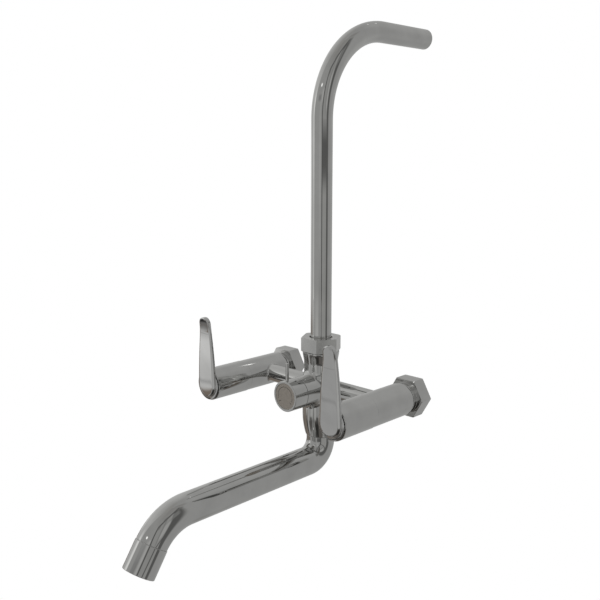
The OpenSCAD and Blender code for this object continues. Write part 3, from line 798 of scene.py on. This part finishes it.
def plate_material():
    """Satin beige-grey disc with a dark arc over its top and a tick below each end of the arc."""
    mat, t, b = nodes_of("index_plate_print")
    co = t.nodes.new("ShaderNodeTexCoord")
    sep = t.nodes.new("ShaderNodeSeparateXYZ")
    t.links.new(co.outputs["Object"], sep.inputs[0])

    def math_node(op, a, b_=None, c=None):
        m = t.nodes.new("ShaderNodeMath"); m.operation = op
        for i, q in enumerate((a, b_, c)):
            if q is None:
                continue
            if isinstance(q, (int, float)):
                m.inputs[i].default_value = q
            else:
                t.links.new(q, m.inputs[i])
        return m.outputs[0]

    x, z = sep.outputs["X"], sep.outputs["Z"]
    r = math_node("SQRT", math_node("ADD", math_node("MULTIPLY", x, x), math_node("MULTIPLY", z, z)))
    ang = math_node("ARCTAN2", x, z)                       # 0 at the top
    aa = math_node("ABSOLUTE", ang)
    on_ring = math_node("LESS_THAN", math_node("ABSOLUTE", math_node("SUBTRACT", r, 0.0084)), 0.00022)
    arc = math_node("MULTIPLY", on_ring, math_node("LESS_THAN", aa, math.radians(112)))
    near = math_node("LESS_THAN", math_node("ABSOLUTE", math_node("SUBTRACT", aa, math.radians(128))), math.radians(2.0))
    span = math_node("LESS_THAN", math_node("ABSOLUTE", math_node("SUBTRACT", r, 0.0080)), 0.0011)
    ticks = math_node("MULTIPLY", near, span)
    mark = math_node("MINIMUM", math_node("ADD", arc, ticks), 1.0)
    v = mapped(t, (1, 1, 1))
    n = noise(t, v, 500, 4, 0.6)
    col = ramp(t, n, [(0.3, (0.462, 0.418, 0.37)), (0.52, (0.493, 0.446, 0.396)), (0.72, (0.525, 0.475, 0.42))])
    mix = t.nodes.new("ShaderNodeMix"); mix.data_type = "RGBA"
    t.links.new(mark, mix.inputs["Factor"])
    t.links.new(col, mix.inputs["A"])
    mix.inputs["B"].default_value = (0.085, 0.078, 0.07, 1)
    t.links.new(mix.outputs["Result"], b.inputs["Base Color"])
    t.links.new(ranged(t, n, 0.34, 0.46), b.inputs["Roughness"])
    bump(t, b, noise(t, v, 2500, 2, 0.5), 0.00008, 0.2)
    return mat


M["plate"] = plate_material()
for key, names in CAD_LOOK.items():
    for n in names:
        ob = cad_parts[n]
        ob.data.materials.clear()
        ob.data.materials.append(M[key])


# ---------------------------------------------------------------- camera

AZ, EL = math.radians(44.431), math.radians(10.586)
cam_data = bpy.data.cameras.new("camera")
cam_data.sensor_width = 36.0
cam_data.sensor_fit = "HORIZONTAL"
cam_data.lens = 47.076
cam_data.clip_start = 0.01
cam_data.clip_end = 20
cam = bpy.data.objects.new("camera", cam_data)
bpy.context.scene.collection.objects.link(cam)
cam.location = (0.463224, -0.537192, 0.205772)
cam.rotation_euler = (math.pi / 2 - EL, 0, AZ)
bpy.context.scene.camera = cam


# ---------------------------------------------------------------- light and setting

scene = bpy.context.scene
scene.view_settings.view_transform = "Standard"
scene.view_settings.look = "None"
scene.view_settings.exposure = 0
scene.view_settings.gamma = 1

world = bpy.data.worlds.new("studio")
scene.world = world
world.use_nodes = True


def studio(wt):
    """Soft grey studio round the object, given by direction: azimuth from -Y towards +X, and elevation.
    Softboxes, a dark frame and a dark ground stand where a photographer would put them for polished metal."""
    N = wt.nodes
    L = wt.links

    def op(kind, *args):
        m = N.new("ShaderNodeMath"); m.operation = kind
        for i, q in enumerate(args):
            if isinstance(q, (int, float)):
                m.inputs[i].default_value = q
            else:
                L.new(q, m.inputs[i])
        return m.outputs[0]

    co = N.new("ShaderNodeTexCoord")
    sep = N.new("ShaderNodeSeparateXYZ")
    L.new(co.outputs["Generated"], sep.inputs[0])
    x, y, z = sep.outputs
    az = op("MULTIPLY", op("ARCTAN2", x, op("MULTIPLY", y, -1.0)), 180 / math.pi)
    el = op("MULTIPLY", op("ARCSINE", op("MAXIMUM", op("MINIMUM", z, 1.0), -1.0)), 180 / math.pi)
    wob = N.new("ShaderNodeTexNoise")
    wob.inputs["Scale"].default_value = 2.2
    wob.inputs["Detail"].default_value = 2
    L.new(co.outputs["Generated"], wob.inputs["Vector"])
    shift = op("MULTIPLY", op("SUBTRACT", wob.outputs["Fac"], 0.5), 1.5)
    el_w = op("ADD", el, shift)

    def step(v, lo, hi):
        """0 below lo, 1 above hi, smooth between."""
        m = N.new("ShaderNodeMapRange")
        m.interpolation_type = "SMOOTHSTEP"
        m.inputs["From Min"].default_value = lo
        m.inputs["From Max"].default_value = hi
        L.new(v, m.inputs["Value"])
        return m.outputs["Result"]

    def band(v, a, b, sa, sb=None):
        """1 between a and b, with soft edges of half widths sa and sb."""
        sb = sa if sb is None else sb
        return op("MULTIPLY", step(v, a - sa, a + sa), op("SUBTRACT", 1.0, step(v, b - sb, b + sb)))

    state = {"col": None}

    def start(c):
        rgb = N.new("ShaderNodeRGB")
        rgb.outputs[0].default_value = (*c, 1)
        state["col"] = rgb.outputs[0]

    def over(mask, c, amount=1.0):
        m = N.new("ShaderNodeMix"); m.data_type = "RGBA"
        L.new(op("MULTIPLY", mask, amount) if amount != 1.0 else mask, m.inputs["Factor"])
        L.new(state["col"], m.inputs["A"])
        m.inputs["B"].default_value = (*c, 1)
        state["col"] = m.outputs["Result"]

    def box(a0, a1, e0, e1, sa, se, c, amount=1.0, v=None, sa2=None, se2=None):
        over(op("MULTIPLY", band(az, a0, a1, sa, sa2), band(v or el, e0, e1, se, se2)), c, amount)

    start((0.425, 0.425, 0.418))
    # ceiling: lighter on the left, darker on the right
    over(step(el, 55, 85), (0.41, 0.405, 0.39), 1.0)
    over(op("MULTIPLY", step(el, 45, 75), band(az, 20, 150, 35)), (0.355, 0.35, 0.34), 1.0)
    # wall behind the object
    over(op("ADD", step(az, 112, 122), op("SUBTRACT", 1.0, step(az, -160, -135))), (0.43, 0.43, 0.425), 1.0)
    over(op("MULTIPLY", op("ADD", step(az, 135, 160), op("SUBTRACT", 1.0, step(az, -165, -140))), band(el, -25, 62, 12)),
         (0.485, 0.485, 0.478), 1.0)
    # large softbox on the left
    box(-142, -44.5, -19, 66, 22, 2, (0.56, 0.56, 0.55), 1.0, sa2=2, se2=16)
    box(-125, -44.5, -14, 42, 16, 3, (0.65, 0.65, 0.64), 1.0, sa2=1.5, se2=12)
    box(-63, -44.5, -18, 25, 6, 0.8, (0.72, 0.72, 0.71), 1.0, sa2=1.2, se2=8)
    box(-63, -44.5, -14.9, 25, 6, 1.2, (0.93, 0.93, 0.92), 0.9, sa2=1.2, se2=8)
    box(-59, -47, 9, 20, 2, 3, (1.05, 1.05, 1.03), 0.9)
    box(-82, -61, -12, 1, 4, 3, (0.52, 0.52, 0.51), 0.9)
    box(-61, -47, -10, -2, 2, 2, (0.66, 0.66, 0.65), 0.8)
    # front: quiet wall with gentle steps
    box(-40, 14, -22, 29, 3, 2, (0.445, 0.445, 0.438), 1.0)
    box(-22, 14, -23, -11, 3, 2, (0.55, 0.55, 0.54), 1.0)
    box(14, 31, -6, 31, 3, 4, (0.50, 0.50, 0.49), 1.0)
    box(28, 39, 19, 31, 2, 2, (0.56, 0.56, 0.55), 1.0)
    box(-12, 20, 21, 27, 8, 2, (0.25, 0.25, 0.25), 0.7)
    # dark frame with two panes on the right
    tilt = op("SUBTRACT", el, op("MULTIPLY", op("SUBTRACT", az, 45.0), 0.2))
    over(op("MULTIPLY", band(az, 41, 113, 1.2, 5), band(tilt, -34, 52, 3, 1.5)), (0.145, 0.145, 0.142), 1.0)
    over(op("MULTIPLY", band(az, 49.5, 93, 1.5, 3), op("MULTIPLY", step(el, 0.5, 3), op("SUBTRACT", 1.0, step(tilt, 43, 46)))),
         (0.40, 0.40, 0.392), 1.0)
    box(78, 92, 8, 32, 3, 3, (0.52, 0.52, 0.51), 1.0)
    box(76, 90, 40, 48, 3, 3, (0.44, 0.44, 0.43), 0.8)
    box(91, 106, 30, 50, 3, 4, (0.26, 0.26, 0.255), 1.0)
    box(104, 118, 50, 60, 4, 4, (0.22, 0.22, 0.215), 0.8)
    box(118, 137, 58, 82, 6, 6, (0.345, 0.34, 0.33), 1.0)
    box(44, 58, 41, 50, 3, 3, (0.20, 0.20, 0.195), 0.8)
    box(58, 74, 51, 60, 4, 3, (0.19, 0.19, 0.185), 0.8)
    box(49.5, 93, -30, -2, 1.5, 1.2, (0.41, 0.41, 0.40), 1.0)
    over(op("MULTIPLY", band(az, 71.5, 77, 1.4), band(tilt, 0, 44, 2)), (0.29, 0.29, 0.285), 0.8)
    # thin stands at the edges of the softbox and of the pane
    box(-43.65, -43.35, -17, -7, 0.1, 2, (0.20, 0.20, 0.195), 0.8)
    box(76.75, 77.35, -19, -6, 0.12, 2, (0.19, 0.19, 0.185), 0.9)
    box(42.5, 47, -12, 1, 1, 2, (0.08, 0.08, 0.078), 0.8)
    # ground: warm on the left, nearly black in front, light elsewhere
    ground = op("SUBTRACT", 1.0, step(el_w, -21, -19))
    ground_low = op("SUBTRACT", 1.0, step(el_w, -27, -22.5))
    over(op("MULTIPLY", ground, band(az, -112, -47, 5, 2)), (0.26, 0.215, 0.18), 1.0)
    over(op("MULTIPLY", op("SUBTRACT", 1.0, step(el, -14, -9)), band(az, -100, -61, 6, 2)), (0.25, 0.215, 0.185), 0.9)
    box(-108, -88, -34, -20, 4, 2, (0.16, 0.145, 0.13), 0.8)
    over(op("MULTIPLY", ground_low, band(az, -47, 62, 2, 5)), (0.15, 0.14, 0.13), 1.0)
    over(op("MULTIPLY", ground, op("MULTIPLY", band(az, -25, 29, 7, 4), band(el, -54, -28, 6, 4))), (0.035, 0.034, 0.032), 0.95)
    box(-44, -26, -64, -44, 3, 4, (0.085, 0.08, 0.075), 0.9)
    box(14, 42, -29, -19.5, 4, 2, (0.075, 0.073, 0.07), 0.9)
    box(-32, -14, -32, -20, 3, 2, (0.12, 0.115, 0.11), 0.85)
    box(14, 30, -19, -9, 3, 3, (0.37, 0.37, 0.365), 0.8)
    over(op("SUBTRACT", 1.0, step(el, -66, -50)), (0.22, 0.205, 0.185), 0.8)
    over(op("MULTIPLY", op("SUBTRACT", 1.0, step(el, -80, -62)), band(az, -110, 110, 30)), (0.05, 0.048, 0.045), 0.9)
    # grey card that stands on the ground, and the thin dark line where the ground ends
    over(op("MULTIPLY", band(az, -64, -52.8, 3, 0.5), op("SUBTRACT", 1.0, step(el_w, -22.5, -15.5))), (0.22, 0.215, 0.21), 1.0)
    over(op("MULTIPLY", band(az, -52.8, -48.5, 0.5, 1), op("SUBTRACT", 1.0, step(el_w, -17.7, -17.2))), (0.26, 0.215, 0.18), 1.0)
    over(op("MULTIPLY", band(az, -61.5, -52.5, 1.5, 1.5), band(el, -38, -23.5, 2, 2.5)), (0.03, 0.03, 0.03), 0.95)
    box(-118, -96, -19, -11, 4, 1.5, (0.20, 0.175, 0.155), 0.9)
    lean = op("SUBTRACT", az, op("MULTIPLY", op("ADD", el, 20.0), 0.42))
    over(op("MULTIPLY", op("MULTIPLY", step(lean, -49.5, -47.5), op("SUBTRACT", 1.0, step(az, -40, -38))), band(el, -40, -13, 2, 3)),
         (0.49, 0.49, 0.485), 1.0)
    slant = op("ADD", el_w, op("MULTIPLY", op("ADD", az, 51.6), 0.14))
    over(op("MULTIPLY", band(az, -58, -38, 3), band(slant, -16.95, -16.7, 0.15)), (0.30, 0.30, 0.30), 0.5)
    # small lamps
    box(-9, 3, 35.4, 38.5, 3, 1.0, (1.9, 1.9, 1.87), 1.0)
    box(-104, -94, -5, 2, 3, 2.5, (1.0, 1.0, 0.98), 1.0)
    box(-179, -171, 49.7, 50.0, 1.5, 0.25, (3.4, 3.4, 3.35), 1.0)
    box(-171, -165, 56.5, 57.0, 1.5, 0.4, (2.8, 2.8, 2.75), 1.0)
    return state["col"]


wt = world.node_tree
wt.nodes.clear()
w_out = wt.nodes.new("ShaderNodeOutputWorld")
w_bg = wt.nodes.new("ShaderNodeBackground")
wt.links.new(studio(wt), w_bg.inputs["Color"])
w_bg.inputs["Strength"].default_value = 0.939
w_white = wt.nodes.new("ShaderNodeBackground")
w_white.inputs["Color"].default_value = (1, 1, 1, 1)
w_mix = wt.nodes.new("ShaderNodeMixShader")
w_path = wt.nodes.new("ShaderNodeLightPath")
wt.links.new(w_path.outputs["Is Camera Ray"], w_mix.inputs["Fac"])
wt.links.new(w_bg.outputs[0], w_mix.inputs[1])
wt.links.new(w_white.outputs[0], w_mix.inputs[2])
wt.links.new(w_mix.outputs[0], w_out.inputs["Surface"])

# pale floor, well below the part, which hangs on a wall
fv = np.array([[-2600, -2600, -330], [2600, -2600, -330], [2600, 2600, -330], [-2600, 2600, -330]], float)
floor_me = bpy.data.meshes.new("floor")
floor_me.from_pydata((fv * MM).tolist(), [], [(0, 1, 2, 3)])
floor = bpy.data.objects.new("floor", floor_me)
bpy.context.scene.collection.objects.link(floor)
floor_mat = bpy.data.materials.new("floor_white")
floor_mat.use_nodes = True
ft = floor_mat.node_tree
ft.nodes.clear()
f_out = ft.nodes.new("ShaderNodeOutputMaterial")
f_em = ft.nodes.new("ShaderNodeEmission")
f_em.inputs["Color"].default_value = (1.0, 1.0, 1.0, 1)
ft.links.new(f_em.outputs[0], f_out.inputs["Surface"])
floor_me.materials.append(floor_mat)
floor.visible_glossy = False
floor.visible_diffuse = False
floor.visible_shadow = False
